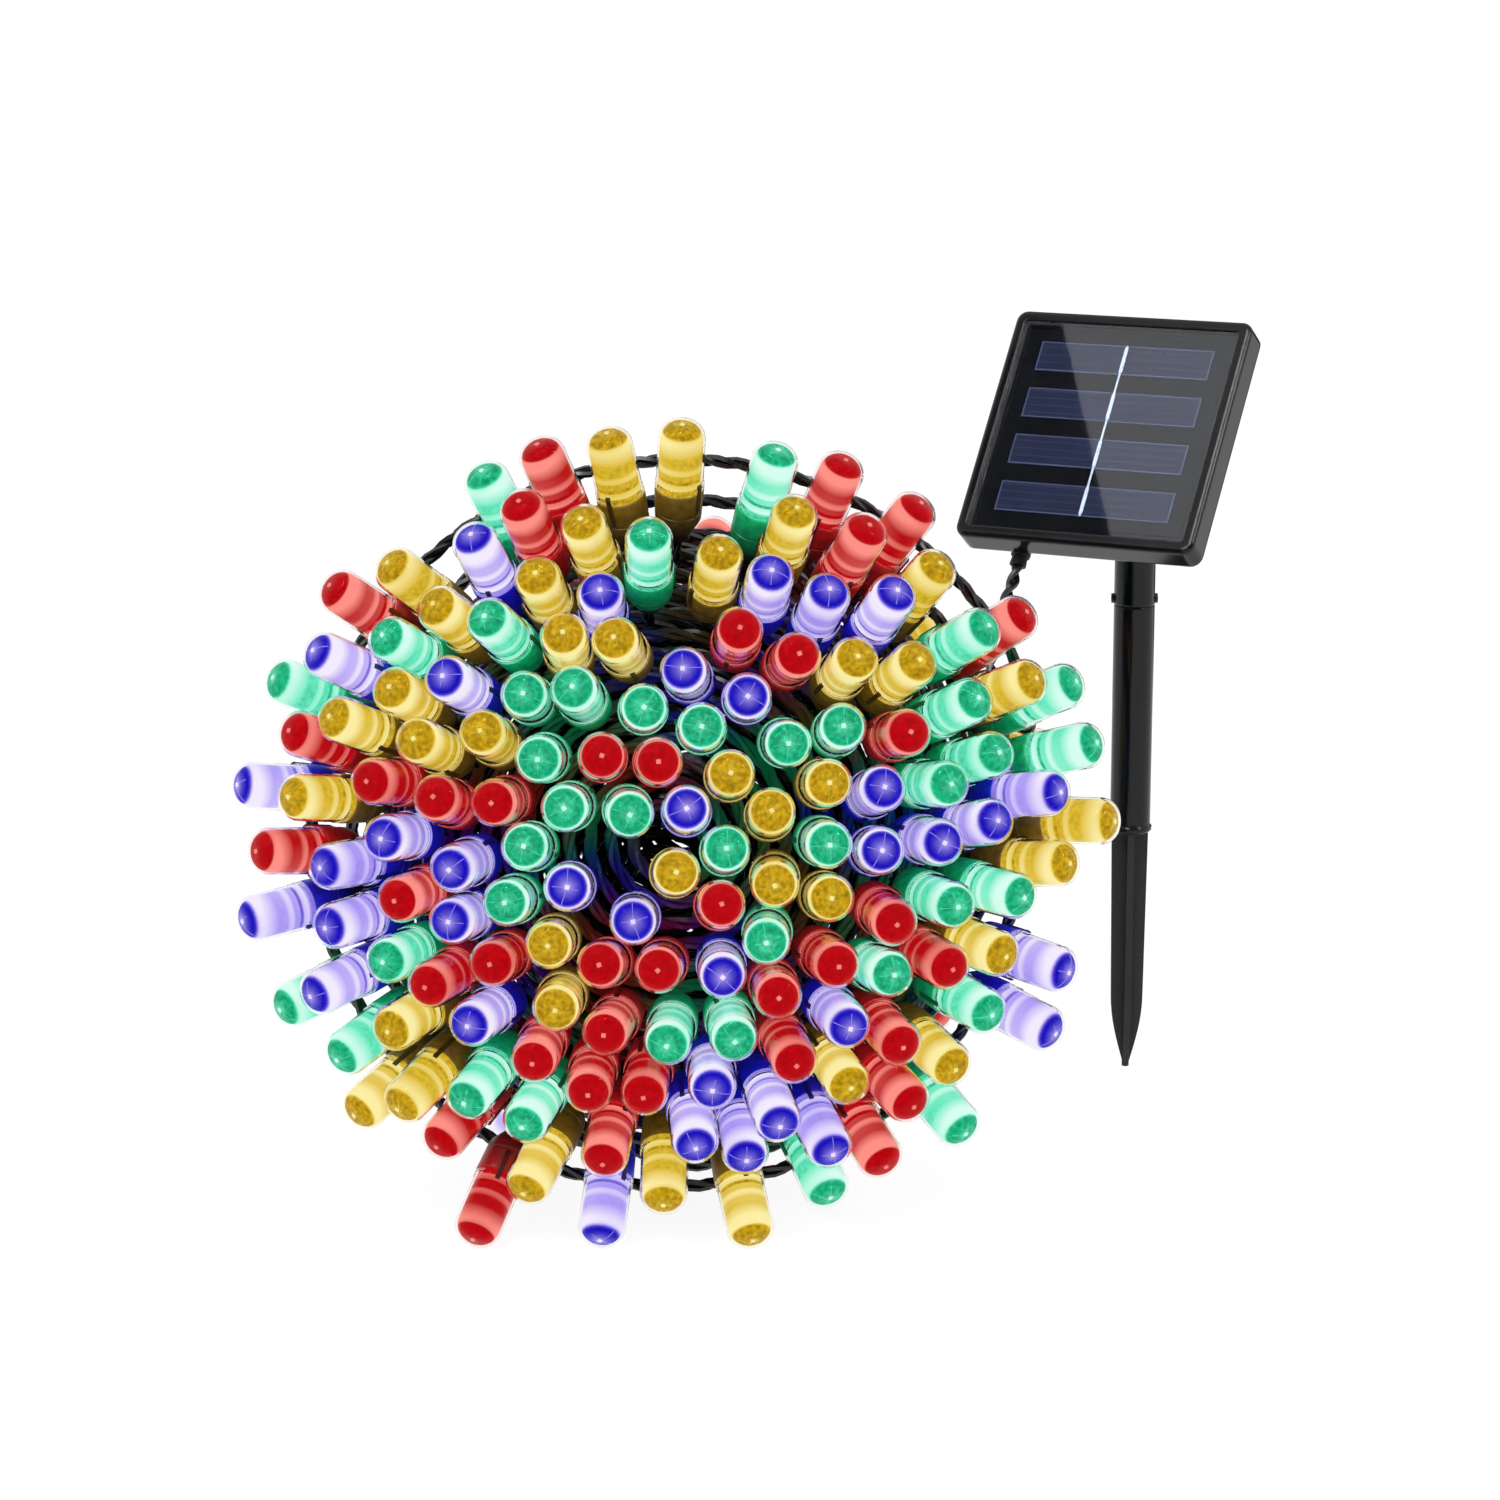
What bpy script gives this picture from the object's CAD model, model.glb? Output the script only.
import math

import bpy
import numpy as np
from bpy.props import FloatProperty, FloatVectorProperty, IntProperty, PointerProperty
from mathutils import Matrix, Vector


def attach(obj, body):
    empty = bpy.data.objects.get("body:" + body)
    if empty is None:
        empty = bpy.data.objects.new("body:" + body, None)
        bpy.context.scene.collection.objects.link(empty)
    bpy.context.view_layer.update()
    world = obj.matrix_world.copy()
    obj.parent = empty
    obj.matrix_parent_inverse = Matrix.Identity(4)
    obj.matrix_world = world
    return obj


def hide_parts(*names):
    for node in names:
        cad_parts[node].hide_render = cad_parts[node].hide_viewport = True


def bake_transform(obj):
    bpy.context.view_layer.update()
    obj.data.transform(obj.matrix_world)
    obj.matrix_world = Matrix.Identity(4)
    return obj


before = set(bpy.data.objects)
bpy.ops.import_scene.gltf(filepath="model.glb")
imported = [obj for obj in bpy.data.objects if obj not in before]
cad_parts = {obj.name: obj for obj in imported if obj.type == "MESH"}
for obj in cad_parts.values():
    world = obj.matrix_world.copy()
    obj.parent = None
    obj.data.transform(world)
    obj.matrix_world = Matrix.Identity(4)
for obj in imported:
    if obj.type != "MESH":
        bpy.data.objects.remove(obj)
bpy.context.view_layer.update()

bl_info = {
    "name": "Solar string lights",
    "version": (1, 0, 0),
    "blender": (4, 5, 0),
    "location": "View3D > Sidebar > String lights",
    "description": "Looks of solar string lights: a heap of lit bulbs and a panel on a stake",
    "category": "Object",
}

MM = 0.001
HUES = ("red", "amber", "green", "blue")
# how uneven the light in the dish of each hue is
FLECKS = {"red": 0.25, "amber": 0.5, "green": 0.45, "blue": 0.15}


def linear(code):
    """An sRGB hex colour as linear RGBA."""
    parts = [int(code[i:i + 2], 16) / 255 for i in (1, 3, 5)]
    return (*[c / 12.92 if c <= 0.04045 else ((c + 0.055) / 1.055) ** 2.4 for c in parts], 1.0)


def size(name, description, default):
    """A length that a user can change, with its default in millimetres."""
    return FloatProperty(
        name=name, description=description, default=default * MM, unit="LENGTH", precision=5
    )


def colour(name, description, code):
    """A colour that a user can change, with its default as sRGB hex."""
    return FloatVectorProperty(
        name=name, description=description, default=linear(code), size=4, subtype="COLOR",
        min=0, max=1,
    )


class WireSizes(bpy.types.PropertyGroup):
    """Sizes of the twisted wire and of its route."""

    diameter: size("Wire", "Outer diameter of the twisted wire", 3.4)
    twist: size("Twist", "Length of one full twist of the lead's two strands", 11)
    lay: size("Lay", "Length of one full twist of the string's three strands", 19)
    tail: size("Tail", "Outer diameter of the strands behind a bulb", 2.8)
    hub: size("Hub", "Radius of the innermost loop", 7)
    front_rim: size("Front rim", "Radius of the outermost near loop", 76)
    back_rim: size("Back rim", "Radius of the outermost far loop", 92)
    front_loops: IntProperty(
        name="Near loops", description="Loops under the near bulbs", default=14
    )
    back_loops: IntProperty(name="Far loops", description="Loops under the far bulbs", default=9)


class BulbSizes(bpy.types.PropertyGroup):
    """Sizes of one bulb."""

    lens: size("Lens", "Diameter of the lens", 11.2)
    lens_length: size("Lens length", "Length of the lens in front of its holder", 17.2)
    holder: size("Holder", "Diameter of the holder", 11.8)
    holder_length: size("Holder length", "Length of the holder", 14)
    tip: size("Tip", "Radius of the rounded tip of the lens", 4.2)


# what each colour of a bulb is, and its value for each hue
BULB_COLOURS = {
    "lens": ("Tint of the lens", ("#fff0ee", "#fffae8", "#f0fff9", "#f7f4ff")),
    "deep": ("Light in the cup", ("#be0511", "#cda41a", "#1cb884", "#1406bc")),
    "wall": ("Light in the body", ("#b80f17", "#e0c03a", "#6fedc6", "#b9a9f8")),
    "pale": ("Brightest bands of the body", ("#ff9a90", "#fdf3b4", "#e4fff7", "#faf6ff")),
    "holder": ("Glow of the holder at the lens", ("#7d0d10", "#5a4410", "#0a8a56", "#10109a")),
}


class BulbColours(bpy.types.PropertyGroup):
    """Colours of the four kinds of bulb."""

    __annotations__ = {
        f"{part}_{hue}": colour(f"{hue} {part}".capitalize(), f"{what}, {hue} bulbs", code)
        for part, (what, codes) in BULB_COLOURS.items() for hue, code in zip(HUES, codes)
    }


class PanelColours(bpy.types.PropertyGroup):
    """Colours of the panel head, the stake and the wire."""

    plastic: colour("Plastic", "Glossy black plastic of the head and the post", "#0b0c0e")
    spike: colour("Spike", "Matt black plastic of the spike", "#0a0a0b")
    wire: colour("Wire", "Black insulation of the wire", "#08090a")
    cell: colour("Cell", "Blue-black silicon cells", "#0d1022")
    ribbon: colour("Ribbon", "Tinned ribbon on the cells", "#d8dde6")
    steel: colour("Steel", "Zinc plated screws", "#c3c8ce")


# Panel head and heap of bulbs, each in a frame of its own as in the part's source
TILT, YAW, HINGE_HEIGHT, HINGE_DROP, HINGE_BACK = 34.7, -29.2, 156.8, 2.1, 28.9
HEAD_EULER = (math.radians(90 - TILT), 0, math.radians(YAW))
HEAD = (
    Matrix.Translation((0, 0, HINGE_HEIGHT * MM))
    @ Matrix.Rotation(HEAD_EULER[2], 4, "Z")
    @ Matrix.Rotation(HEAD_EULER[0], 4, "X")
    @ Matrix.Translation((0, HINGE_DROP * MM, HINGE_BACK * MM))
)
GLAND_END = Vector((-18.5, -35, -11.8)) * MM
# the photographed ribbon against the width that the plate needs for solder
RIBBON_SHARE = 0.62
PILE_PITCH = 12
PILE_CENTRE = Vector((-119, -101, 87.696)) * MM
PILE = Matrix.Translation(PILE_CENTRE) @ Matrix.Rotation(math.radians(90 - PILE_PITCH), 4, "X")
FRONT_CROWN, FRONT_DOME, BACK_CROWN, LAYER_GAP = 35 * MM, 72 * MM, 20 * MM, 6 * MM
COIL_START = 25
# layers inside the heap: first and last radius, loops, start in turns, share of the way from the
# far layer to the near one, middle
INNER_LAYERS = (
    (7, 68, 18, 0.575, 0.346, (3.885, 5.795)),
    (68, 7, 17, 0.714, 0.689, (-2.601, -12.202)),
)
LOOP_POINTS, LINK_POINTS = 600, 200
LEAD_MIDDLE = (
    (-37.9, -30, 125.8), (-38.6, -30.7, 123.6), (-38.5, -50.1, 109.7), (-37.6, -61, 109.2),
    (-32.9, -78.8, 109.3), (-33.5, -87.6, 119.8),
)
LEAD_POINTS = 80
# distance between the rings of a strand, strands, and sides of a strand
COIL_STEP, COIL_STRANDS, COIL_SIDES = 2.3 * MM, 3, 5
LEAD_STEP, LEAD_STRANDS, LEAD_SIDES = 0.8 * MM, 2, 8
TAIL_POINTS, TAIL_STRANDS, TAIL_SIDES = 12, 3, 6
# no CAD tail reaches further behind its bulb than this
TAIL_REACH = 20 * MM
# how far a bulb tints and lights the wire, how strongly, and where along its holder the light sits
HUE_REACH, GLOW_REACH, GLOW_POWER, GLOW_PLACE = 7 * MM, 14 * MM, 0.5, 0.4

# depth of the holder's socket, how deep lens and lit body sit in it, and how much less than the
# lens's radius its radius is
SOCKET_DEPTH, SEAT_DEPTH, SOCKET_FIT = 4 * MM, 3.95 * MM, 0.2 * MM
HOLDER_SIDES, LENS_SIDES, CORE_SIDES = 24, 28, 24
BULB_SEED = 5
# least and most that a bulb differs from the usual brightness
UNEVEN = (-0.05, 0.09)

CAMERA_PLACE = (-0.101, -1.036, 0.307)
CAMERA_PITCH, CAMERA_LENS, CAMERA_SENSOR = 12, 96, 36
FLOOR_REACH = 40


def add(tree, kind, inputs=None, **settings):
    """Adds a shader node with its settings, and links or sets its inputs."""
    node = tree.nodes.new("ShaderNode" + kind)
    for name, value in settings.items():
        setattr(node, name, value)
    for socket, value in (inputs or {}).items():
        if isinstance(value, bpy.types.NodeSocket):
            tree.links.new(value, node.inputs[socket])
        else:
            node.inputs[socket].default_value = value
    return node


def new_material(name):
    """An empty node material, its tree to fill, and the place on the piece in metres."""
    material = bpy.data.materials.new(name)
    material.use_nodes = True
    tree = material.node_tree
    tree.nodes.clear()
    return material, tree, add(tree, "TexCoord").outputs["Object"]


def lamps_pass(tree, glass, tint):
    """Finishes a clear material: lamps shine straight through it, in the given tint."""
    clear = add(tree, "BsdfTransparent", {"Color": tint})
    ray = add(tree, "LightPath")
    mix = add(tree, "MixShader", {
        0: ray.outputs["Is Shadow Ray"], 1: glass.outputs[0], 2: clear.outputs[0],
    })
    add(tree, "OutputMaterial", {"Surface": mix.outputs[0]})


def seen_share(tree):
    """1 where the camera, a mirror or glass looks at the background, and 0 where it only lights."""
    ray = add(tree, "LightPath")
    plain = add(tree, "Math", {
        0: ray.outputs["Is Camera Ray"], 1: ray.outputs["Is Glossy Ray"],
    }, operation="MAXIMUM")
    return add(tree, "Math", {
        0: plain.outputs[0], 1: ray.outputs["Is Transmission Ray"],
    }, operation="MAXIMUM").outputs[0]


def gloss_black_abs(colours):
    """Injection moulded ABS from a polished tool: deep black and mirror-like, with a faint ripple
    and the haze of handling."""
    material, tree, place = new_material("gloss_black_abs")
    # haze in patches of 12.5 mm
    haze = add(tree, "TexNoise", {
        "Vector": place, "Scale": 1 / (12.5 * MM), "Detail": 4, "Roughness": 0.6,
    })
    rough = add(tree, "MapRange", {0: haze.outputs["Fac"], 1: 0.35, 2: 0.75, 3: 0.1, 4: 0.2})
    # flow ripple of 4 mm
    ripple = add(tree, "TexNoise", {"Vector": place, "Scale": 1 / (4 * MM), "Detail": 2})
    # moulded edges are rounded and catch the light
    edge = add(tree, "Bevel", {"Radius": 0.9 * MM}, samples=6)
    bump = add(tree, "Bump", {
        "Height": ripple.outputs["Fac"], "Strength": 0.05, "Distance": 0.2 * MM,
        "Normal": edge.outputs[0],
    })
    # specks of dust, drawn coarser than real ones so that they show
    dust = add(tree, "TexNoise", {"Vector": place, "Scale": 1 / (1.1111 * MM), "Detail": 2})
    speck = add(tree, "MapRange", {0: dust.outputs["Fac"], 1: 0.7, 2: 0.78, 3: 0, 4: 0.12})
    tint = add(tree, "Mix", {
        0: speck.outputs[0], 6: colours.plastic, 7: linear("#3a3c40"),
    }, data_type="RGBA")
    shader = add(tree, "BsdfPrincipled", {
        "Base Color": tint.outputs[2], "Roughness": rough.outputs[0], "IOR": 1.53,
        "Specular IOR Level": 0.25, "Normal": bump.outputs[0],
    })
    add(tree, "OutputMaterial", {"Surface": shader.outputs[0]})
    return material


def matt_black_plastic(colours):
    """Glass-filled plastic from an eroded tool: matt, with a fine grain that catches light at the
    edges."""
    material, tree, place = new_material("matt_black_plastic")
    # spark grain of 0.5 mm, drawn coarser than the real 0.1 mm so that it shows
    grain = add(tree, "TexNoise", {"Vector": place, "Scale": 1 / (0.5 * MM), "Detail": 3})
    bump = add(tree, "Bump", {
        "Height": grain.outputs["Fac"], "Strength": 0.25, "Distance": 0.15 * MM,
    })
    # duller patches of 8 mm
    patches = add(tree, "TexNoise", {"Vector": place, "Scale": 1 / (8.3333 * MM), "Detail": 3})
    tint = add(tree, "Mix", {
        0: patches.outputs["Fac"], 6: colours.spike, 7: linear("#17181a"),
    }, data_type="RGBA")
    shader = add(tree, "BsdfPrincipled", {
        "Base Color": tint.outputs[2], "Roughness": 0.55, "IOR": 1.5, "Normal": bump.outputs[0],
    })
    add(tree, "OutputMaterial", {"Surface": shader.outputs[0]})
    return material


def pvc_insulation(colours):
    """Extruded PVC on the wire: black and half glossy with fine drawing lines, and lit by the bulbs
    near it in their hues."""
    material, tree, place = new_material("pvc_insulation")
    glow = add(tree, "Attribute", attribute_name="glow").outputs["Color"]
    # only the side towards the bulbs is lit
    face = add(tree, "VectorMath", {
        0: add(tree, "NewGeometry").outputs["Normal"],
        1: PILE.to_3x3() @ Vector((0, 0, 1)),
    }, operation="DOT_PRODUCT")
    facing = add(tree, "MapRange", {0: face.outputs["Value"], 1: 0.1, 2: 1, 3: 0, 4: 1})
    # duller patches of 3.3 mm
    dull = add(tree, "TexNoise", {"Vector": place, "Scale": 1 / (3.33333 * MM), "Detail": 3})
    rough = add(tree, "MapRange", {0: dull.outputs["Fac"], 1: 0.3, 2: 0.7, 3: 0.22, 4: 0.42})
    tint = add(tree, "Mix", {
        0: dull.outputs["Fac"], 6: colours.wire, 7: linear("#141517"),
    }, data_type="RGBA")
    # drawing marks of 0.7 mm, coarser than real ones so that they show
    lines = add(tree, "TexNoise", {"Vector": place, "Scale": 1 / (0.66667 * MM), "Detail": 2})
    bump = add(tree, "Bump", {
        "Height": lines.outputs["Fac"], "Strength": 0.12, "Distance": 0.1 * MM,
    })
    shader = add(tree, "BsdfPrincipled", {
        "Base Color": tint.outputs[2], "Roughness": rough.outputs[0], "IOR": 1.53,
        "Normal": bump.outputs[0],
        "Emission Color": glow, "Emission Strength": facing.outputs[0],
    })
    add(tree, "OutputMaterial", {"Surface": shader.outputs[0]})
    material.cycles.emission_sampling = "NONE"
    return material


def clear_cast_cover():
    """Cast clear resin over the cells: almost invisible but for its sharp reflections."""
    material, tree, place = new_material("clear_cast_cover")
    # waves of the casting, 17 mm long
    wave = add(tree, "TexNoise", {"Vector": place, "Scale": 1 / (16.6667 * MM), "Detail": 2})
    bump = add(tree, "Bump", {
        "Height": wave.outputs["Fac"], "Strength": 0.03, "Distance": 0.2 * MM,
    })
    glass = add(tree, "BsdfPrincipled", {
        "Base Color": linear("#eef2fa"), "Roughness": 0.02, "IOR": 1.5, "Transmission Weight": 1,
        "Normal": bump.outputs[0],
    })
    lamps_pass(tree, glass, linear("#e6ebf5"))
    return material


def coated_silicon(colours):
    """Blue-black silicon with printed silver fingers: fine light lines along the cell and a thin
    bright border."""
    # half the distance between fingers, half their width, which is more than the real one so that
    # they show, and how far they sway
    finger_gap, finger_half, finger_sway = 1.05 * MM, 0.22 * MM, 0.35 * MM
    # half the distance between strips, and how far from its middle a strip's border starts
    strip_half, border_across, border_along = 6.8 * MM, 3.9 * MM, 23.75 * MM
    material, tree, place = new_material("coated_silicon")
    local = add(tree, "Mapping", {
        "Vector": place, "Location": HEAD.to_translation(), "Rotation": HEAD_EULER,
    }, vector_type="TEXTURE")
    part = add(tree, "SeparateXYZ", {0: local.outputs[0]})
    shift = add(tree, "TexNoise", {"Vector": local.outputs[0], "Scale": 1 / (25 * MM), "Detail": 2})
    sway = add(tree, "Math", {
        0: shift.outputs["Fac"], 1: finger_sway, 2: part.outputs["Y"],
    }, operation="MULTIPLY_ADD")
    tooth = add(tree, "Math", {0: sway.outputs[0], 1: finger_gap}, operation="PINGPONG")
    finger = add(tree, "MapRange", {0: tooth.outputs[0], 1: 0, 2: finger_half, 3: 0.3, 4: 0})
    # cloudy coating in patches of 11 mm
    cloud = add(tree, "TexNoise", {
        "Vector": local.outputs[0], "Scale": 1 / (11.1111 * MM), "Detail": 3,
    })
    base = add(tree, "Mix", {
        0: cloud.outputs["Fac"], 6: colours.cell, 7: linear("#171b2e"),
    }, data_type="RGBA")
    printed = add(tree, "Mix", {
        0: finger.outputs[0], 6: base.outputs[2], 7: linear("#3c4560"),
    }, data_type="RGBA")
    across = add(tree, "Math", {0: part.outputs["X"]}, operation="ABSOLUTE")
    end = add(tree, "Math", {0: across.outputs[0], 1: border_along}, operation="GREATER_THAN")
    strip = add(tree, "Math", {0: part.outputs["Y"], 1: strip_half}, operation="PINGPONG")
    side = add(tree, "Math", {
        0: strip.outputs[0], 1: strip_half - border_across,
    }, operation="LESS_THAN")
    edge = add(tree, "Math", {0: end.outputs[0], 1: side.outputs[0]}, operation="MAXIMUM")
    rim = add(tree, "Math", {0: edge.outputs[0], 1: 0.3}, operation="MULTIPLY")
    lined = add(tree, "Mix", {
        0: rim.outputs[0], 6: printed.outputs[2], 7: linear("#6c7590"),
    }, data_type="RGBA")
    shader = add(tree, "BsdfPrincipled", {
        "Base Color": lined.outputs[2], "Roughness": 0.35, "IOR": 1.6, "Specular IOR Level": 0.08,
    })
    add(tree, "OutputMaterial", {"Surface": shader.outputs[0]})
    return material


def metal(name, tone, rough, grain):
    """A plated metal with fine streaks of the given grain in millimetres."""
    material, tree, place = new_material(name)
    streak = add(tree, "TexNoise", {"Vector": place, "Scale": 1 / (grain * MM), "Detail": 3})
    spread = add(tree, "MapRange", {
        0: streak.outputs["Fac"], 1: 0.3, 2: 0.7, 3: rough * 0.7, 4: rough * 1.4,
    })
    tint = add(tree, "Mix", {
        0: streak.outputs["Fac"], 6: tone, 7: [c * 0.7 for c in tone],
    }, data_type="RGBA")
    shader = add(tree, "BsdfPrincipled", {
        "Base Color": tint.outputs[2], "Metallic": 1, "Roughness": spread.outputs[0],
    })
    add(tree, "OutputMaterial", {"Surface": shader.outputs[0]})
    return material


def plain_moulding(name, code, rough, grain, bump_height=0.05, gloss=0.5):
    """A moulded or laminated piece of one colour, with grain and its height in millimetres."""
    material, tree, place = new_material(name)
    noise = add(tree, "TexNoise", {"Vector": place, "Scale": 1 / (grain * MM), "Detail": 3})
    tone = linear(code)
    tint = add(tree, "Mix", {
        0: noise.outputs["Fac"], 6: tone, 7: [min(1, c * 1.5 + 0.004) for c in tone],
    }, data_type="RGBA")
    bump = add(tree, "Bump", {
        "Height": noise.outputs["Fac"], "Strength": 0.15, "Distance": bump_height * MM,
    })
    shader = add(tree, "BsdfPrincipled", {
        "Base Color": tint.outputs[2], "Roughness": rough, "IOR": 1.5, "Specular IOR Level": gloss,
        "Normal": bump.outputs[0],
    })
    add(tree, "OutputMaterial", {"Surface": shader.outputs[0]})
    return material


def tinted_lens(colours, hue):
    """Clear tinted acrylic cap, moulded and polished: sharp glints, and the lit body shows through.
    It bends and mirrors less than acrylic and in its own hue, because the white stage would wash
    out the light in it."""
    material, tree, place = new_material(f"clear_acrylic_{hue}")
    tint = getattr(colours, "lens_" + hue)
    # flow lines of the moulding, 2.5 mm apart
    flow = add(tree, "TexNoise", {"Vector": place, "Scale": 1 / (2.5 * MM), "Detail": 2})
    bump = add(tree, "Bump", {
        "Height": flow.outputs["Fac"], "Strength": 0.08, "Distance": 0.2 * MM,
    })
    glass = add(tree, "BsdfPrincipled", {
        "Base Color": tint, "Roughness": 0.03, "IOR": 1.2, "Transmission Weight": 1,
        "Normal": bump.outputs[0], "Specular Tint": getattr(colours, "deep_" + hue),
    })
    lamps_pass(tree, glass, tint)
    return material


def lit_holder(colours, hue):
    """Tinted black polypropylene lit from in front: glows in its hue next to the lens and is black
    at the rear."""
    material, tree, place = new_material(f"lit_holder_{hue}")
    lit = add(tree, "Attribute", attribute_name="lit").outputs["Fac"]
    socket = add(tree, "Attribute", attribute_name="socket").outputs["Fac"]
    # grain of 2 mm, drawn coarser than the real one so that it shows
    grain = add(tree, "TexNoise", {"Vector": place, "Scale": 1 / (2 * MM), "Detail": 3})
    mottle = add(tree, "MapRange", {0: grain.outputs["Fac"], 1: 0.3, 2: 0.7, 3: 0.6, 4: 1.15})
    reach = add(tree, "Math", {0: lit, 1: 1.5}, operation="POWER")
    glow = add(tree, "Math", {0: reach.outputs[0], 1: mottle.outputs[0]}, operation="MULTIPLY")
    body = add(tree, "Mix", {
        0: glow.outputs[0], 6: linear("#050506"), 7: getattr(colours, "holder_" + hue),
    }, data_type="RGBA")
    light = add(tree, "Mix", {
        0: socket, 6: body.outputs[2], 7: getattr(colours, "pale_" + hue),
    }, data_type="RGBA")
    bump = add(tree, "Bump", {
        "Height": grain.outputs["Fac"], "Strength": 0.1, "Distance": 0.1 * MM,
    })
    shader = add(tree, "BsdfPrincipled", {
        "Base Color": body.outputs[2], "Roughness": 0.35, "IOR": 1.5, "Specular IOR Level": 0.35,
        "Normal": bump.outputs[0],
        "Emission Color": light.outputs[2], "Emission Strength": 0.8,
    })
    add(tree, "OutputMaterial", {"Surface": shader.outputs[0]})
    material.cycles.emission_sampling = "NONE"
    return material


def lit_core(colours, hue):
    """Lit moulded polycarbonate with its chip: deep hue and mottled in the dish, lighter in the
    wall, pale in its bands."""
    material, tree, place = new_material(f"lit_polycarbonate_{hue}")
    bright = add(tree, "Attribute", attribute_name="bright").outputs["Fac"]
    # flecks of the casting, 1.1 mm, only in the dish
    fleck = add(tree, "TexNoise", {"Vector": place, "Scale": 1 / (1.1111 * MM), "Detail": 3})
    uneven = add(tree, "MapRange", {
        0: fleck.outputs["Fac"], 1: 0.32, 2: 0.68, 3: 1 - FLECKS[hue], 4: 1.1,
    })
    smooth = add(tree, "MapRange", {0: bright, 1: 0.3, 2: 0.6, 3: 0, 4: 1})
    power = add(tree, "Mix", {0: smooth.outputs[0], 2: uneven.outputs[0], 3: 1}, data_type="FLOAT")
    # brightness from 0 over 0.5 to 1 goes from deep over wall to pale
    first = add(tree, "Math", {0: bright, 1: 2}, operation="MULTIPLY")
    second = add(tree, "Math", {0: bright, 1: 2, 2: -1}, operation="MULTIPLY_ADD")
    wall = add(tree, "Mix", {
        0: first.outputs[0],
        6: getattr(colours, "deep_" + hue), 7: getattr(colours, "wall_" + hue),
    }, data_type="RGBA")
    tint = add(tree, "Mix", {
        0: second.outputs[0], 6: wall.outputs[2], 7: getattr(colours, "pale_" + hue),
    }, data_type="RGBA")
    shader = add(tree, "BsdfPrincipled", {
        "Base Color": linear("#040404"), "Roughness": 0.6, "Specular IOR Level": 0,
        "Emission Color": tint.outputs[2], "Emission Strength": power.outputs[0],
    })
    add(tree, "OutputMaterial", {"Surface": shader.outputs[0]})
    material.cycles.emission_sampling = "NONE"
    return material


def make_piece(name, points, faces, material, values=None, crease=40):
    """A mesh object with smooth faces, creased where they meet at more than the given angle."""
    mesh = bpy.data.meshes.new(name)
    mesh.from_pydata(points, [], faces)
    mesh.polygons.foreach_set("use_smooth", [True] * len(mesh.polygons))
    mesh.set_sharp_from_angle(angle=math.radians(crease))
    for key, numbers in (values or {}).items():
        numbers = np.asarray(numbers, np.float32)
        if numbers.ndim == 1:
            mesh.attributes.new(key, "FLOAT", "POINT").data.foreach_set("value", numbers)
        else:
            attribute = mesh.attributes.new(key, "FLOAT_COLOR", "POINT")
            attribute.data.foreach_set("color", numbers.ravel())
    mesh.materials.append(material)
    piece = bpy.data.objects.new(name, mesh)
    bpy.context.scene.collection.objects.link(piece)
    return piece


def turned(profile, sides):
    """A profile of (radius, height) turned about Z: points and faces. A radius of 0 closes an
    end."""
    points, faces, rows = [], [], []
    ways = [math.tau * k / sides for k in range(sides)]
    for r, z in profile:
        if r < 1e-9:
            rows.append([len(points)])
            points.append((0, 0, z))
        else:
            rows.append(list(range(len(points), len(points) + sides)))
            points += [(r * math.cos(way), r * math.sin(way), z) for way in ways]
    for a, b in zip(rows, rows[1:]):
        for k in range(sides if max(len(a), len(b)) > 1 else 0):
            n = (k + 1) % sides
            if len(a) == 1:
                faces.append((a[0], b[n], b[k]))
            elif len(b) == 1:
                faces.append((a[k], a[n], b[0]))
            else:
                faces.append((a[k], a[n], b[n], b[k]))
    return np.array(points), faces


def joined(parts):
    """Several (points, faces) as one."""
    points, faces, start = [], [], 0
    for p, f in parts:
        points.append(p)
        faces += [tuple(i + start for i in face) for face in f]
        start += len(p)
    return np.vstack(points), faces


def repeated(part, places):
    """The same (points, faces) at each 4x4 place."""
    points, faces = part
    return joined([(points @ np.array(m)[:3, :3].T + np.array(m)[:3, 3], faces) for m in places])


def tube(rings, sides):
    """Faces of a tube of the given number of rings, with closed ends."""
    faces = []
    for i in range(0, (rings - 1) * sides, sides):
        for k in range(sides):
            n = (k + 1) % sides
            faces.append((i + k, i + n, i + sides + n, i + sides + k))
    last = (rings - 1) * sides
    return faces + [tuple(range(sides))[::-1], tuple(last + k for k in range(sides))]


def along(points):
    """Distance along a line of points, from its first one."""
    return np.concatenate([[0], np.cumsum(np.linalg.norm(np.diff(points, axis=0), axis=1))])


def evenly(points, step):
    """A line of points again, the given step apart."""
    far = along(points)
    marks = np.linspace(0, far[-1], max(2, int(round(far[-1] / step)) + 1))
    return np.stack([np.interp(marks, far, points[:, k]) for k in range(3)], axis=1)


def unit(vector):
    """A vector's direction, 1 long."""
    return vector / np.linalg.norm(vector)


def cross_ways(points):
    """At each point of a line two directions across it, which turn as little as possible."""
    ahead = np.gradient(points, axis=0)
    ahead /= np.linalg.norm(ahead, axis=1)[:, None]
    side = np.zeros_like(points)
    side[0] = unit(np.cross(ahead[0], [0, 0, 1]))
    for i in range(1, len(points)):
        side[i] = unit(side[i - 1] - ahead[i] * np.dot(side[i - 1], ahead[i]))
    return side, np.cross(ahead, side)


def strand(points, radius, sides):
    """A round strand along a line, with closed ends."""
    a, b = cross_ways(points)
    turn = np.arange(sides)[None, :, None] * math.tau / sides
    rings = points[:, None] + radius * (np.cos(turn) * a[:, None] + np.sin(turn) * b[:, None])
    return rings.reshape(-1, 3), tube(len(points), sides)


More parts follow.
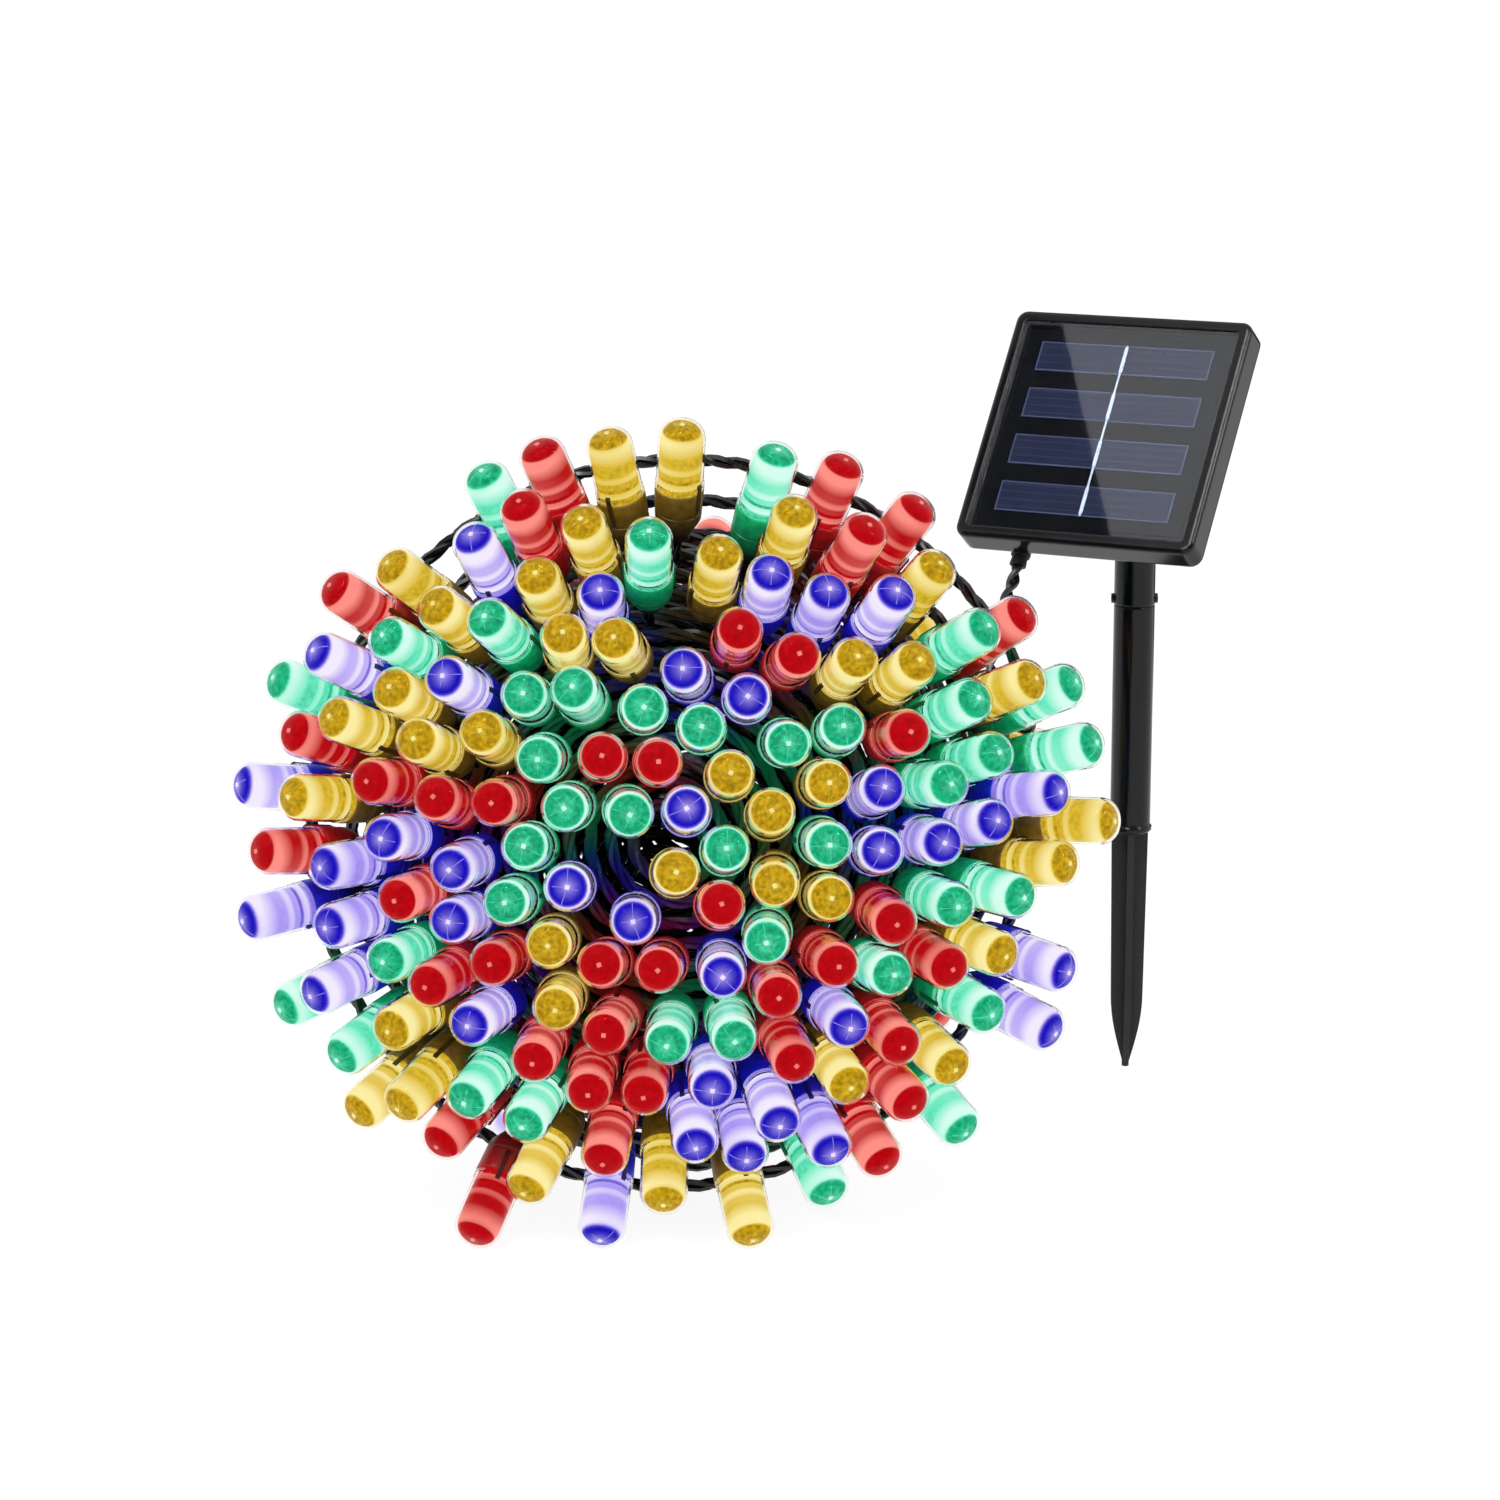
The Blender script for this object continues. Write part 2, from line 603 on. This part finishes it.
def twisted(points, strands, diameter, twist, sides, turn=0.0):
    """Round strands twisted about a line, together as wide as the diameter."""
    a, b = cross_ways(points)
    share = math.sin(math.pi / strands)
    radius = diameter / 2 * share / (1 + share)
    offset = diameter / 2 - radius
    parts = []
    for k in range(strands):
        angle = turn + math.tau * (k / strands + along(points) / twist)
        middle = points + offset * (np.cos(angle)[:, None] * a + np.sin(angle)[:, None] * b)
        parts.append(strand(middle, radius, sides))
    return joined(parts)


def arc(a, b, u, v, k):
    """Points at k from 0 to 1 on the smooth curve from a to b that leaves by u and arrives by v."""
    return (
        (2 * k ** 3 - 3 * k ** 2 + 1) * a + (k ** 3 - 2 * k ** 2 + k) * u
        + (3 * k ** 2 - 2 * k ** 3) * b + (k ** 3 - k ** 2) * v
    )


def through(points, steps):
    """A smooth line through points that are unevenly far apart."""
    p = np.array(points, float)
    gap = np.linalg.norm(np.diff(p, axis=0), axis=1)[:, None]
    pace = np.diff(p, axis=0) / gap
    middle = (pace[:-1] * gap[1:] + pace[1:] * gap[:-1]) / (gap[:-1] + gap[1:])
    slope = np.vstack([pace[:1], middle, pace[-1:]])
    k = np.linspace(0, 1, steps + 1)[:-1, None]
    parts = [
        arc(p[i], p[i + 1], slope[i] * gap[i], slope[i + 1] * gap[i], k)
        for i in range(len(p) - 1)
    ]
    return np.vstack([*parts, p[-1:]])


def coil_line(wire):
    """Middle of the coil in the row frame: in along the far layer, twice across the heap, and out
    along the near layer."""
    def near(r):
        return FRONT_CROWN * (1 - (r / FRONT_DOME) ** 2)

    def far(r):
        return -LAYER_GAP - BACK_CROWN * (1 - (r / wire.back_rim) ** 2)

    def layer(start, end, loops, turn, share, shift):
        """Loops from one radius to another at a share of the way from far layer to near layer."""
        k = np.linspace(0, 1, LOOP_POINTS * loops)
        r = (start ** 1.5 + (end ** 1.5 - start ** 1.5) * k) ** (2 / 3)
        turns = turn + loops * (r - start) / (end - start)
        angle = math.radians(COIL_START) + math.tau * turns
        x, y = r * np.cos(angle) + shift[0] * MM, r * np.sin(angle) + shift[1] * MM
        return np.stack([x, y, far(r) + (near(r) - far(r)) * share], axis=1)

    def link(a, b):
        """Smooth way from the end of one layer to the start of the next, in their directions."""
        reach = np.linalg.norm(b[0] - a[-1]) + 6 * wire.diameter
        k = np.linspace(0, 1, LINK_POINTS)[1:-1, None]
        return arc(a[-1], b[0], unit(a[-1] - a[-2]) * reach, unit(b[1] - b[0]) * reach, k)

    layers = [layer(wire.back_rim, wire.hub, wire.back_loops, 0, 0, (0, 0))]
    layers += [layer(start * MM, end * MM, *rest) for start, end, *rest in INNER_LAYERS]
    layers.append(layer(wire.hub, wire.front_rim, wire.front_loops, 0, 1, (0, 0)))
    line = layers[0]
    for after in layers[1:]:
        line = np.vstack([line, link(line, after), after])
    line = np.vstack([
        line[:1] - wire.diameter * unit(line[1] - line[0]),
        line,
        line[-1:] + wire.diameter * unit(line[-1] - line[-2]),
    ])
    pile = np.array(PILE)
    return line @ pile[:3, :3].T + pile[:3, 3]


def lead_line(wire, coil):
    """Middle of the lead in the row frame, from the gland to the start of the coil."""
    start = np.array(HEAD @ GLAND_END)
    out = np.array(HEAD.to_3x3() @ Vector((0, -1, 0)))
    middle = [np.array(p) * MM for p in LEAD_MIDDLE]
    return through([start, start + wire.diameter * out, *middle, coil[0]], LEAD_POINTS)


def loose_parts(node):
    """Middle of each separate solid of a CAD node, weighted by area."""
    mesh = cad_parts[node].data
    mesh.calc_loop_triangles()
    points = np.zeros(len(mesh.vertices) * 3)
    mesh.vertices.foreach_get("co", points)
    points = points.reshape(-1, 3)
    triangles = np.zeros(len(mesh.loop_triangles) * 3, int)
    mesh.loop_triangles.foreach_get("vertices", triangles)
    # corners at the same place are one
    grid = np.round(points / (0.002 * MM)).astype(np.int64)
    _, same = np.unique(grid, axis=0, return_inverse=True)
    corners = same.reshape(-1)[triangles].reshape(-1, 3)
    label = np.arange(same.max() + 1)
    while True:
        low = label[corners].min(axis=1)
        new = label.copy()
        for k in range(3):
            np.minimum.at(new, corners[:, k], low)
        new = new[new]
        if (new == label).all():
            break
        label = new
    a, b, c = (points[triangles.reshape(-1, 3)[:, k]] for k in range(3))
    area, middle = np.linalg.norm(np.cross(b - a, c - a), axis=1), (a + b + c) / 3
    part = label[corners[:, 0]]
    return np.array([
        np.average(middle[part == k], axis=0, weights=area[part == k]) for k in np.unique(part)
    ])


def bulb_places(hue):
    """Where each bulb of a hue stands: the middle of its holder, and a 4x4 turn whose Z is the
    bulb's axis."""
    holders, lenses = loose_parts("holder_" + hue), loose_parts("lens_" + hue)
    gaps = np.linalg.norm(holders[:, None] - lenses[None], axis=2)
    usual = np.median(gaps.min(axis=1))
    places = []
    for holder, row in zip(holders, gaps):
        mate = lenses[np.argmin(np.abs(row - usual))]
        axis = Vector(mate - holder).normalized()
        places.append((Vector(holder), axis.to_track_quat("Z", "Y").to_matrix().to_4x4()))
    return places


def bulb_light(points, sizes, colours):
    """Light that the bulbs throw on each point: in the hue of the nearest ones, dimmer with the
    distance."""
    tint = np.zeros((len(points), 4))
    near, reach = np.full((len(points), 1), 1e-9), np.zeros((len(points), 1))
    for hue in HUES:
        deep = np.array(getattr(colours, "holder_" + hue))
        for middle, turn in bulb_places(hue):
            source = np.array(middle) + np.array(turn)[:3, 2] * sizes.holder_length * GLOW_PLACE
            away = np.linalg.norm(points - source, axis=1)[:, None]
            share = np.exp(-(away / HUE_REACH) ** 2)
            tint, near = tint + deep * share, near + share
            reach = reach + np.exp(-(away / GLOW_REACH) ** 2)
    return tint / near * np.clip(reach, 0, 1) * GLOW_POWER


def paint(finishes):
    """Gives CAD nodes their materials."""
    for node, material in finishes.items():
        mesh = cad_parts[node].data
        mesh.materials.clear()
        mesh.materials.append(material)


class STRINGLIGHTS_OT_stage(bpy.types.Operator):
    """Adds the camera, the soft lamps and the white floor"""

    bl_idname = "string_lights.stage"
    bl_label = "Stage"

    def execute(self, context):
        scene = context.scene
        scene.view_settings.view_transform = "Standard"
        data = bpy.data.cameras.new("camera")
        data.lens, data.sensor_width, data.clip_start = CAMERA_LENS, CAMERA_SENSOR, 0.01
        camera = bpy.data.objects.new("camera", data)
        camera.location = CAMERA_PLACE
        camera.rotation_euler = (math.radians(90 - CAMERA_PITCH), 0, 0)
        scene.collection.objects.link(camera)
        scene.camera = camera

        world = bpy.data.worlds.new("studio")
        world.use_nodes = True
        tree = world.node_tree
        tree.nodes.clear()
        # white to look at, and half as bright as a light
        strength = add(tree, "MapRange", {0: seen_share(tree), 1: 0, 2: 1, 3: 0.5, 4: 1})
        back = add(tree, "Background", {
            "Color": linear("#ffffff"), "Strength": strength.outputs[0],
        })
        add(tree, "OutputWorld", {"Surface": back.outputs[0]})
        scene.world = world

        wide = FLOOR_REACH
        floor = make_piece(
            "floor", [(-wide, -wide, 0), (wide, -wide, 0), (wide, wide, 0), (-wide, wide, 0)],
            [(0, 1, 2, 3)], self.white_paper(),
        )
        floor.location.z = -0.2 * MM

        # the second face of the clear cover mirrors this card through the first one
        self.black_card("card_over_panel", self.card_corners()).visible_transmission = True
        self.black_card("card_behind_camera", self.upright(3, -3, -1.5, 2.2))
        self.black_card("card_behind_stake", self.upright(-0.12, 0.5, 0.5, 0.6))

        # place, aim, width and length in metres, and watts
        for name, place, aim, width, length, power in (
            ("key", (-0.9, -1.1, 1.3), (-0.1, -0.08, 0.1), 0.8, 0.8, 12),
            ("fill", (1.05, -0.76, 1.06), (0, 0, 0.15), 0.35, 0.35, 7),
            ("strip", (-0.38, -0.86, 1.72), (0, 0, 0.17), 0.3, 0.6, 16),
        ):
            lamp = bpy.data.lights.new(name, "AREA")
            lamp.shape, lamp.size, lamp.size_y, lamp.energy = "RECTANGLE", width, length, power
            light = bpy.data.objects.new(name, lamp)
            light.location = place
            way = Vector(aim) - Vector(place)
            light.rotation_euler = way.to_track_quat("-Z", "Y").to_euler()
            scene.collection.objects.link(light)
        return {"FINISHED"}

    @staticmethod
    def white_paper():
        """Matt white paper: as white as the background, and it keeps a soft shadow."""
        material, tree, _ = new_material("white_paper_floor")
        share = add(tree, "Math", {0: seen_share(tree), 1: 0.82}, operation="MULTIPLY")
        paper = add(tree, "BsdfDiffuse", {"Color": linear("#f3f3f3")})
        white = add(tree, "Emission", {"Color": linear("#ffffff"), "Strength": 1.12})
        mix = add(tree, "MixShader", {
            0: share.outputs[0], 1: paper.outputs[0], 2: white.outputs[0],
        })
        add(tree, "OutputMaterial", {"Surface": mix.outputs[0]})
        return material

    @staticmethod
    def black_card(name, corners):
        """A studio card of black velvet that only shows in reflections."""
        material, tree, _ = new_material(name + "_velvet")
        velvet = add(tree, "BsdfDiffuse", {"Color": linear("#0d0d0d")})
        add(tree, "OutputMaterial", {"Surface": velvet.outputs[0]})
        card = make_piece(name, corners, [(0, 1, 2, 3)], material)
        for ray in ("camera", "diffuse", "transmission", "volume_scatter", "shadow"):
            setattr(card, "visible_" + ray, False)
        return card

    @staticmethod
    def upright(left, right, y, height):
        """Corners of an upright card that stands on the floor."""
        return [(left, y, 0), (right, y, 0), (right, y, height), (left, y, height)]

    @staticmethod
    def card_corners():
        """Corners that the panel's face mirrors to the camera left of a slanting line across it."""
        normal = HEAD.to_3x3() @ Vector((0, 0, 1))
        corners = []
        for x, y in ((-21.3, 33), (11.8, -33), (-78, -33), (-111, 33)):
            place = HEAD @ (Vector((x, y, 0)) * MM)
            view = (place - Vector(CAMERA_PLACE)).normalized()
            corners.append(place + 0.6 * (view - 2 * view.dot(normal) * normal))
        return corners


class STRINGLIGHTS_OT_wire(bpy.types.Operator):
    """Lays the lead, the coil under the bulbs and the wire's sealed end"""

    bl_idname = "string_lights.wire"
    bl_label = "Wire"

    def execute(self, context):
        scene = context.scene
        wire = scene.string_wire
        pvc = pvc_insulation(scene.string_panel)
        coil = evenly(coil_line(wire), COIL_STEP)
        lead = evenly(lead_line(wire, coil), LEAD_STEP)

        form = twisted(lead, LEAD_STRANDS, wire.diameter, wire.twist, LEAD_SIDES)
        piece = make_piece("lead_pair", *form, pvc)
        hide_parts("lead_wire")
        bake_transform(piece)

        paint({"string_end_cap": pvc})
        points, faces = twisted(coil, COIL_STRANDS, wire.diameter, wire.lay, COIL_SIDES)
        glow = bulb_light(points, scene.string_bulb, scene.string_colours)
        piece = make_piece("coil_strands", points, faces, pvc, {"glow": glow})
        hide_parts("string_coil")
        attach(piece, "string")
        return {"FINISHED"}


class STRINGLIGHTS_OT_bulbs(bpy.types.Operator):
    """Makes the bulbs of each colour: holder, lit body and clear lens, and the wire tails behind"""

    bl_idname = "string_lights.bulbs"
    bl_label = "Bulbs"

    def execute(self, context):
        sizes, colours = context.scene.string_bulb, context.scene.string_colours
        wire = context.scene.string_wire
        cad_tails = loose_parts("wire_tails")
        random = np.random.default_rng(BULB_SEED)
        tails = []
        holder, lit, socket = self.holder_form(sizes)
        lens = self.lens_form(sizes)
        core, bright = self.core_form(sizes)
        middle = self.area_middle(self.cad_holder(sizes))
        for hue in HUES:
            places = []
            for centre, turn in bulb_places(hue):
                roll = Matrix.Rotation(random.uniform(0, math.tau), 4, "Z")
                back = centre - turn.to_3x3() @ Vector((0, 0, middle))
                places.append(Matrix.Translation(back) @ turn @ roll)
                axis = np.array(turn)[:3, 2]
                tails.append(self.tail(np.array(back), axis, cad_tails, wire, random))
            count = len(places)
            holder_values, core_values = {"lit": lit, "socket": socket}, {"bright": bright}
            for form, name, node, material, values in (
                (holder, "holder_", "holder_", lit_holder(colours, hue), holder_values),
                (core, "core_", "led_", lit_core(colours, hue), core_values),
                (lens, "lens_", "lens_", tinted_lens(colours, hue), {}),
            ):
                # no two bulbs are equally bright
                uneven = random.uniform(*UNEVEN, count)
                values = {
                    key: np.tile(v, count) * (1 + np.repeat(uneven, len(v)))
                    for key, v in values.items()
                }
                piece = make_piece(f"{name}{hue}_set", *repeated(form, places), material, values)
                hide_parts(node + hue)
                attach(piece, "string")
        piece = make_piece("tail_strands", *joined(tails), bpy.data.materials["pvc_insulation"])
        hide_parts("wire_tails")
        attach(piece, "string")
        return {"FINISHED"}

    @staticmethod
    def socket_rows(s):
        """Inside of the holder's socket, from its rim to the middle of its floor."""
        r, floor = s.lens / 2 - SOCKET_FIT, s.holder_length - SOCKET_DEPTH
        return [(r, s.holder_length), (r, floor), (0, floor)]

    @classmethod
    def cad_holder(cls, s):
        """The holder's plain profile, whose middle places the bulb."""
        r, length = s.holder / 2, s.holder_length
        profile = [(a * MM, b * MM) for a, b in ((0, 0), (2.8, 0), (3.2, 0.5), (3.4, 2.2))]
        profile += [(r - 1 * MM, 4.6 * MM), (r - 0.4 * MM, 6 * MM)]
        profile += [(r, length - 0.5 * MM), (r - 0.3 * MM, length)]
        return profile + cls.socket_rows(s)

    @staticmethod
    def area_middle(profile):
        """Height of the middle of a turned surface, weighted by area."""
        total = moment = 0
        for (r0, z0), (r1, z1) in zip(profile, profile[1:]):
            run = math.hypot(r1 - r0, z1 - z0)
            for k in np.linspace(0.01, 0.99, 50):
                part = (r0 + (r1 - r0) * k) * run
                total += part
                moment += part * (z0 + (z1 - z0) * k)
        return moment / total

    @classmethod
    def holder_form(cls, s):
        """Ribbed nose, tapered barrel with a groove, socket and two clips; with how lit each point
        is."""
        # radius and height in millimetres of a holder 5.9 mm in radius and 14 mm long
        rows = [
            (0, 0), (2.6, 0), (3.0, 0.2), (3.2, 0.6), (3.25, 1.2), (2.95, 1.35), (2.95, 1.75),
            (3.35, 1.9), (3.4, 2.3), (4.1, 3.2), (4.9, 4.6), (5.25, 5.3), (5.5, 6.1), (5.6, 7.6),
            (5.45, 7.75), (5.45, 8.35), (5.65, 8.5), (5.75, 11), (5.86, 13.2), (5.84, 13.6),
            (5.72, 13.9), (5.58, 14),
        ]
        wide, long = s.holder / 2 / (5.9 * MM), s.holder_length / (14 * MM)
        profile = [(a * MM * wide, b * MM * long) for a, b in rows]
        barrel = turned(profile + cls.socket_rows(s), HOLDER_SIDES)
        # height, inner and outer radius of a clip in millimetres
        stations = (
            (8.6, 5.55, 5.7), (9.6, 5.6, 6.05), (13.9, 5.75, 6.2), (15.4, 5.9, 6.2),
            (16.1, 5.75, 6.3), (16.6, 5.72, 5.95),
        )
        clip = np.array([
            corner for z, low, high in stations
            for corner in ((low, -0.6, z), (high, -0.5, z), (high, 0.5, z), (low, 0.6, z))
        ]) * MM
        sides = [Matrix.Identity(4), Matrix.Rotation(math.pi, 4, "Z")]
        form = joined([barrel, repeated((clip, tube(len(stations), 4)), sides)])
        x, y, z = form[0].T
        lit = np.clip(z / s.holder_length, 0, 1)
        lit[len(barrel[0]):] = 0.35
        inside = np.hypot(x, y) < s.lens / 2 - SOCKET_FIT + 0.01 * MM
        socket = inside & (z > s.holder_length - SOCKET_DEPTH - 0.1 * MM)
        return form, lit, socket.astype(float)

    @staticmethod
    def tip_point(s, inset, angle):
        """Radius and height of a point on the rounded tip of the lens, or that far inside it."""
        bend = s.tip - inset
        front = s.holder_length + s.lens_length
        return (
            s.lens / 2 - s.tip + bend * math.cos(math.radians(angle)),
            front - s.tip + bend * math.sin(math.radians(angle)),
        )

    @classmethod
    def lens_form(cls, s):
        """Clear cap, open towards the holder: two shoulder rings, a rounded tip, and the same again
        inside."""
        r, foot, wall = s.lens / 2, s.holder_length - SEAT_DEPTH, 0.4 * MM
        front, base = s.holder_length + s.lens_length, s.holder_length + 0.05 * MM
        turns = [90 * k / 9 for k in range(1, 10)]
        outer = [(r - 0.35 * MM, foot), (r - 0.35 * MM, base)]
        # start, end and height of each ring in millimetres
        for z0, z1, out in ((0, 0.8, 0.25), (1.0, 1.75, 0.22)):
            outer += [
                (r, base + z0 * MM), (r + out * MM, base + (z0 + 0.15) * MM),
                (r + out * MM, base + (z1 - 0.15) * MM), (r, base + z1 * MM),
            ]
        outer += [(r, base + 3 * MM), (r - 0.02 * MM, front - s.tip)]
        outer += [cls.tip_point(s, 0, turn) for turn in turns] + [(0, front)]
        inner = [(0, front - wall)] + [cls.tip_point(s, wall, turn) for turn in reversed(turns)]
        inner += [(r - wall, front - s.tip), (r - wall, base)]
        inner += [(r - 0.75 * MM, foot), (r - 0.35 * MM, foot)]
        return turned(outer + inner, LENS_SIDES)

    @classmethod
    def core_form(cls, s):
        """Lit body with pale bands and a domed front, its square chip and bond wires; with how
        bright each point is."""
        foot, inset = s.holder_length - SEAT_DEPTH, 0.7 * MM
        # radius and height in millimetres, and brightness from 0, deep, over 0.5, wall, to 1, pale
        rows = [
            (0, 0, 0.3), (4.8, 0, 0.3), (4.8, 4, 0.3), (5.12, 4.1, 0.25), (5.12, 5, 0.35),
            (5.12, 5.6, 0.85), (5.12, 6.9, 0.7), (4.8, 7.1, 0.2), (4.8, 7.7, 0.2), (5.1, 7.9, 0.5),
            (5.1, 9.2, 0.5), (5.1, 9.8, 0.8), (5.1, 10.6, 0.75), (5.08, 11.4, 0.52),
            (5.05, 13.4, 0.5), (5.02, 14.9, 0.7), (5, 16.9, 0.95),
        ]
        # the dome follows the tip of the lens: a pale ring, then the deep light of the cup
        dome = (
            (12, 1), (24, 0.9), (32, 0.4), (38, 0.06), (48, 0), (60, 0.02), (74, 0.08), (90, 0.2),
        )
        profile = [(a * MM, foot + b * MM) for a, b, _ in rows]
        profile += [cls.tip_point(s, inset, angle) for angle, _ in dome]
        top = profile[-1][1]
        profile += [(0.75 * MM, top + 0.02 * MM), (0, top + 0.03 * MM)]
        levels = [row[2] for row in rows] + [level for _, level in dome] + [0.35, 0.5]
        core = turned(profile, CORE_SIDES)
        bright = np.concatenate([
            [level] * (CORE_SIDES if r else 1) for (r, _), level in zip(profile, levels)
        ])
        # one side of the body is brighter than the other
        bright = bright * (1 + 0.16 * np.cos(np.arctan2(core[0][:, 1], core[0][:, 0])))
        half, low, high = 0.55 * MM, top - 0.1 * MM, top + 0.2 * MM
        corners = ((-1, -1), (1, -1), (1, 1), (-1, 1))
        chip = [(x * half, y * half, low) for x, y in corners]
        chip += [(x * half * 0.8, y * half * 0.8, high) for x, y in corners]
        # bond wires lie on the dome
        path = [cls.tip_point(s, inset, angle) for angle in (90, 70, 55, 42)]
        bond = np.array([(0.4 * MM, 0, top)] + [(r, 0, z) for r, z in path])
        bonds = [
            repeated(
                strand(bond[:count], 0.08 * MM, 5), [Matrix.Rotation(math.radians(way), 4, "Z")]
            )
            for way, count in ((8, 5), (97, 4), (171, 5), (262, 3))
        ]
        form = joined([core, (np.array(chip), tube(2, 4)), *bonds])
        wires = len(form[0]) - len(bright) - len(chip)
        return form, np.concatenate([bright, [0.9] * len(chip), [0.4] * wires])

    @staticmethod
    def tail(back, axis, cad_tails, wire, random):
        """Twisted strands from the wire to the back of a holder, along the CAD tail that lies on
        the bulb's axis."""
        behind = (back - cad_tails) @ axis
        beside = np.linalg.norm(back - cad_tails - behind[:, None] * axis, axis=1)
        fits = (behind > 0) & (behind < TAIL_REACH)
        half = behind[np.argmin(np.where(fits, beside, 1))]
        line = back - 2 * half * axis * np.linspace(1, 0, TAIL_POINTS)[:, None]
        turn = random.uniform(0, math.tau)
        return twisted(line, TAIL_STRANDS, wire.tail, wire.lay, TAIL_SIDES, turn)


class STRINGLIGHTS_OT_panel(bpy.types.Operator):
    """Finishes the panel head: frame, cover, cells, ribbon, housing, buttons and what is inside"""

    bl_idname = "string_lights.panel"
    bl_label = "Panel head"

    def execute(self, context):
        colours = context.scene.string_panel
        abs_black = gloss_black_abs(colours)
        # zinc plating: cool grey, softly bright
        steel = metal("zinc_plated_steel", colours.steel, 0.3, 0.4)
        # moulded rubber: near black and dull
        rubber = plain_moulding("moulded_rubber", "#121213", 0.6, 0.8)
        # dipped tin: white metal with soft streaks
        tin = metal("tinned_copper", colours.ribbon, 0.32, 0.5)
        paint({
            "front_bezel": abs_black, "rear_housing": abs_black,
            "clear_cover": clear_cast_cover(), "solar_cells": coated_silicon(colours),
            "bus_ribbon": tin,
            # pressed laminate under the resin: dead black, without a gloss of its own
            "solar_backing": plain_moulding(
                "black_laminate", "#010102", 0.45, 6, bump_height=0, gloss=0.02
            ),
            "housing_gasket": rubber, "cable_gland": rubber,
            "housing_screws": steel, "board_screws": steel,
            # printed solder mask: green and half glossy
            "circuit_board": plain_moulding("solder_mask", "#1e5a38", 0.35, 1.2),
            # moulded nylon of the switches: dark grey, dull
            "tact_switches": plain_moulding("switch_plastic", "#2b2d31", 0.5, 0.6),
            # soft moulded buttons from a satin tool: a little lighter than the housing
            "power_button": plain_moulding("satin_button", "#26282c", 0.42, 0.5),
            "mode_button": plain_moulding("satin_button_flat", "#26282c", 0.42, 0.5),
            # shrunk PVC sleeve: green and glossy
            "battery_cell": plain_moulding("shrink_sleeve", "#3d7f4b", 0.25, 2),
            # nickel plated spring steel: warm grey, bright
            "battery_contacts": metal("nickel_spring", linear("#c8c8c6"), 0.3, 0.4),
        })
        self.slim_ribbon(tin)
        return {"FINISHED"}

    @staticmethod
    def slim_ribbon(tin):
        """The ribbon again, in its photographed width."""
        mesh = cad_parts["bus_ribbon"].data
        home, slim = HEAD.inverted(), Vector((RIBBON_SHARE, 1, 1))
        points = [HEAD @ (slim * (home @ v.co)) for v in mesh.vertices]
        faces = [tuple(face.vertices) for face in mesh.polygons]
        piece = make_piece("ribbon_strip", points, faces, tin)
        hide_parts("bus_ribbon")
        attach(piece, "panel_head")


class STRINGLIGHTS_OT_stake(bpy.types.Operator):
    """Finishes the stake: neck, bolt, nut, post and spike"""

    bl_idname = "string_lights.stake"
    bl_label = "Stake"

    def execute(self, context):
        abs_black = bpy.data.materials["gloss_black_abs"]
        steel = bpy.data.materials["zinc_plated_steel"]
        paint({
            "neck": abs_black, "post_tube": abs_black,
            "ground_spike": matt_black_plastic(context.scene.string_panel),
            "tilt_bolt": steel, "tilt_nut": steel,
        })
        return {"FINISHED"}


GROUPS = {
    "string_wire": WireSizes, "string_bulb": BulbSizes,
    "string_colours": BulbColours, "string_panel": PanelColours,
}
OPERATORS = (
    STRINGLIGHTS_OT_stage, STRINGLIGHTS_OT_wire, STRINGLIGHTS_OT_bulbs,
    STRINGLIGHTS_OT_panel, STRINGLIGHTS_OT_stake,
)


class STRINGLIGHTS_PT_sidebar(bpy.types.Panel):
    """Lists the sizes and colours, and the steps that build the lights"""

    bl_idname = "STRINGLIGHTS_PT_sidebar"
    bl_label = "String lights"
    bl_space_type = "VIEW_3D"
    bl_region_type = "UI"
    bl_category = "String lights"

    def draw(self, context):
        for name, group in GROUPS.items():
            box = self.layout.box()
            for key in group.__annotations__:
                box.prop(getattr(context.scene, name), key)
        for operator in OPERATORS:
            self.layout.operator(operator.bl_idname)


CLASSES = (*GROUPS.values(), *OPERATORS, STRINGLIGHTS_PT_sidebar)


def register():
    for cls in CLASSES:
        bpy.utils.register_class(cls)
    for name, group in GROUPS.items():
        setattr(bpy.types.Scene, name, PointerProperty(type=group))


def unregister():
    for name in GROUPS:
        delattr(bpy.types.Scene, name)
    for cls in reversed(CLASSES):
        bpy.utils.unregister_class(cls)


def main():
    register()
    bpy.ops.string_lights.stage()
    bpy.ops.string_lights.wire()
    bpy.ops.string_lights.bulbs()
    bpy.ops.string_lights.panel()
    bpy.ops.string_lights.stake()


if __name__ == "__main__":
    main()
